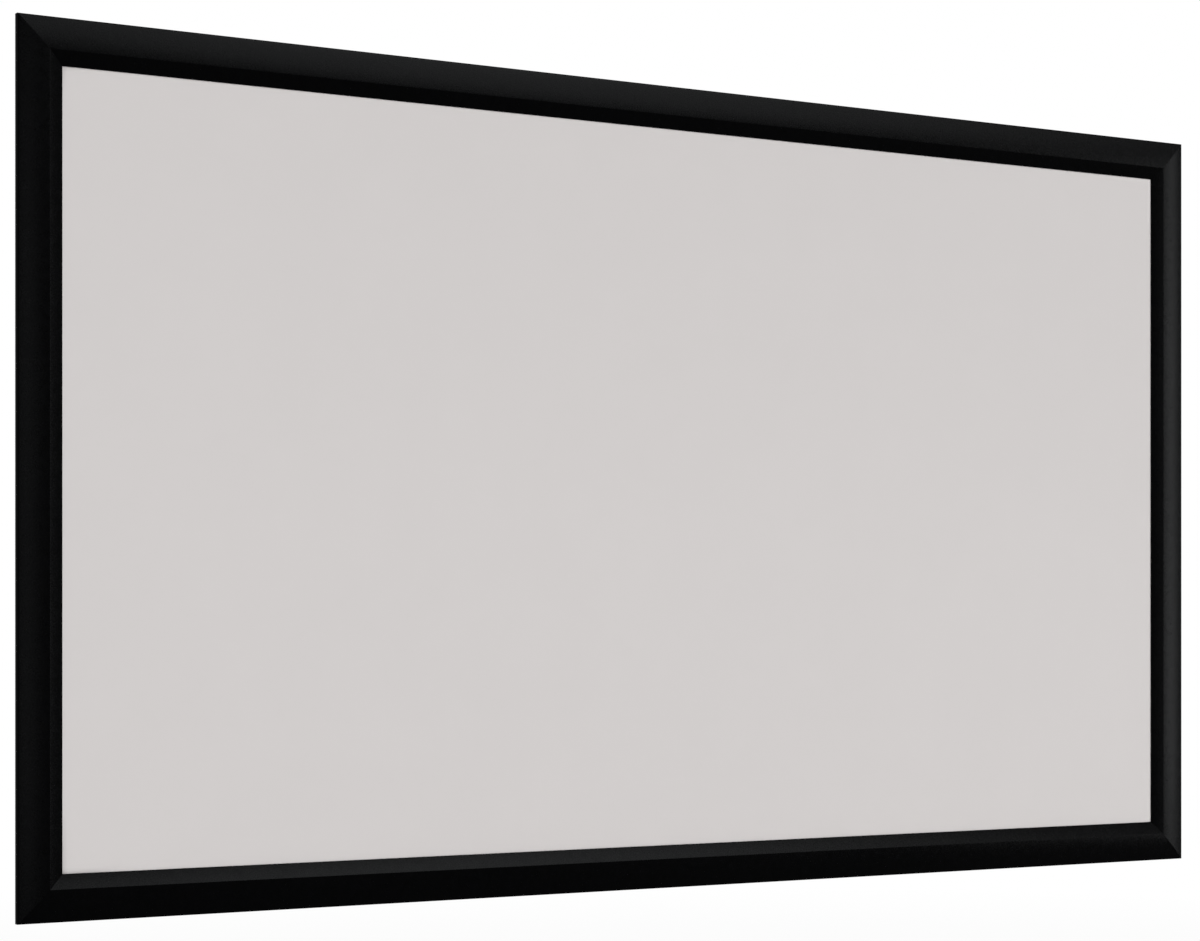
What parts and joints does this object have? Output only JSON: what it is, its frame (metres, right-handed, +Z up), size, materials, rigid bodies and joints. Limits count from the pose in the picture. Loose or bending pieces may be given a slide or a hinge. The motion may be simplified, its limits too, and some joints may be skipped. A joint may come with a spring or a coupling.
{
  "type": "fixed frame projector screen",
  "caption": "Wall-hung projection screen: a flat pale sheet sprung tight in a mitred black velvet-finished moulding with a bowed face and an inner bevel.",
  "frame": {"origin": "centre of the frame's box", "axes": "+X to the right of someone facing the picture, +Y from the viewer to the wall, +Z up; the picture faces -Y"},
  "size_m": [2.56, 0.032, 1.51],
  "materials": {
    "velvet_frame": "matte",
    "screen_sheet": "matte",
    "rod_fibre": "satin",
    "spring_steel": "satin",
    "zinc_plate": "satin",
    "dark_screw": "satin",
    "bar_black": "satin",
    "clip_plastic": "matte"
  },
  "bodies": {
    "root": {"bottom_rail": "velvet_frame", "bottom_spring_1": "spring_steel", "bottom_spring_10": "spring_steel", "bottom_spring_2": "spring_steel", "bottom_spring_3": "spring_steel", "bottom_spring_4": "spring_steel", "bottom_spring_5": "spring_steel", "bottom_spring_6": "spring_steel", "bottom_spring_7": "spring_steel", "bottom_spring_8": "spring_steel", "bottom_spring_9": "spring_steel", "bottom_tension_rod": "rod_fibre", "corner_bracket_bottom_left": "zinc_plate", "corner_bracket_bottom_right": "zinc_plate", "corner_bracket_top_left": "zinc_plate", "corner_bracket_top_right": "zinc_plate", "corner_screw_bottom_left_rail": "dark_screw", "corner_screw_bottom_left_stile": "dark_screw", "corner_screw_bottom_right_rail": "dark_screw", "corner_screw_bottom_right_stile": "dark_screw", "corner_screw_top_left_rail": "dark_screw", "corner_screw_top_left_stile": "dark_screw", "corner_screw_top_right_rail": "dark_screw", "corner_screw_top_right_stile": "dark_screw", "left_spring_1": "spring_steel", "left_spring_2": "spring_steel", "left_spring_3": "spring_steel", "left_spring_4": "spring_steel", "left_spring_5": "spring_steel", "left_spring_6": "spring_steel", "left_stile": "velvet_frame", "left_tension_rod": "rod_fibre", "right_spring_1": "spring_steel", "right_spring_2": "spring_steel", "right_spring_3": "spring_steel", "right_spring_4": "spring_steel", "right_spring_5": "spring_steel", "right_spring_6": "spring_steel", "right_stile": "velvet_frame", "right_tension_rod": "rod_fibre", "screen_surface": "screen_sheet", "support_bar": "bar_black", "support_bar_clip_bottom": "clip_plastic", "support_bar_clip_top": "clip_plastic", "top_rail": "velvet_frame", "top_spring_1": "spring_steel", "top_spring_10": "spring_steel", "top_spring_2": "spring_steel", "top_spring_3": "spring_steel", "top_spring_4": "spring_steel", "top_spring_5": "spring_steel", "top_spring_6": "spring_steel", "top_spring_7": "spring_steel", "top_spring_8": "spring_steel", "top_spring_9": "spring_steel", "top_tension_rod": "rod_fibre", "wall_bracket_bottom_left": "zinc_plate", "wall_bracket_bottom_right": "zinc_plate", "wall_bracket_top_left": "zinc_plate", "wall_bracket_top_right": "zinc_plate"}
  },
  "joints": []
}
